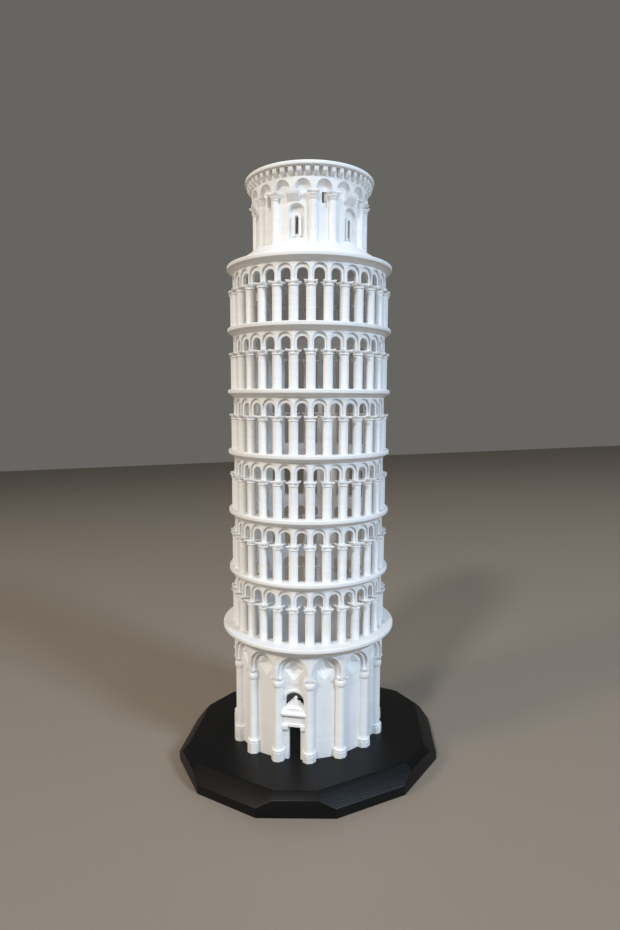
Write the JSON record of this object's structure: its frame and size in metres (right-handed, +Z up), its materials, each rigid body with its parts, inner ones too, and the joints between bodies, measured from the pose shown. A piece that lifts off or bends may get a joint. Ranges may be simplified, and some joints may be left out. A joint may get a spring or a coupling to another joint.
{
  "type": "miniature landmark model",
  "caption": "Miniature leaning round bell tower with open arcaded storeys and a narrower belfry, standing on a bevelled twelve-sided stand.",
  "frame": {"origin": "centre of the underside of the twelve-sided stand", "axes": "+Z up, -Y through the middle of the short-bevelled side of the stand that faces the doorway; the tower leans towards +X and -Y"},
  "size_m": [0.114, 0.114, 0.2506],
  "materials": {
    "white_print": "matt white printed plastic with fine horizontal layer lines",
    "black_print": "satin black printed plastic with fine horizontal layer lines"
  },
  "bodies": {
    "root": {"display_base": "black_print", "ground_storey": "white_print", "ground_arcade": "white_print", "door_lintel": "white_print", "door_ledge": "white_print", "door_figures": "white_print", "cornice_1": "white_print", "cornice_2": "white_print", "cornice_3": "white_print", "cornice_4": "white_print", "cornice_5": "white_print", "cornice_6": "white_print", "cornice_7": "white_print", "loggia_2": "white_print", "loggia_3": "white_print", "loggia_4": "white_print", "loggia_5": "white_print", "loggia_6": "white_print", "loggia_7": "white_print", "belfry_step": "white_print", "belfry_wall": "white_print", "belfry_arcade": "white_print", "corbel_ring": "white_print", "belfry_rim": "white_print", "roof_deck": "white_print"}
  },
  "joints": []
}
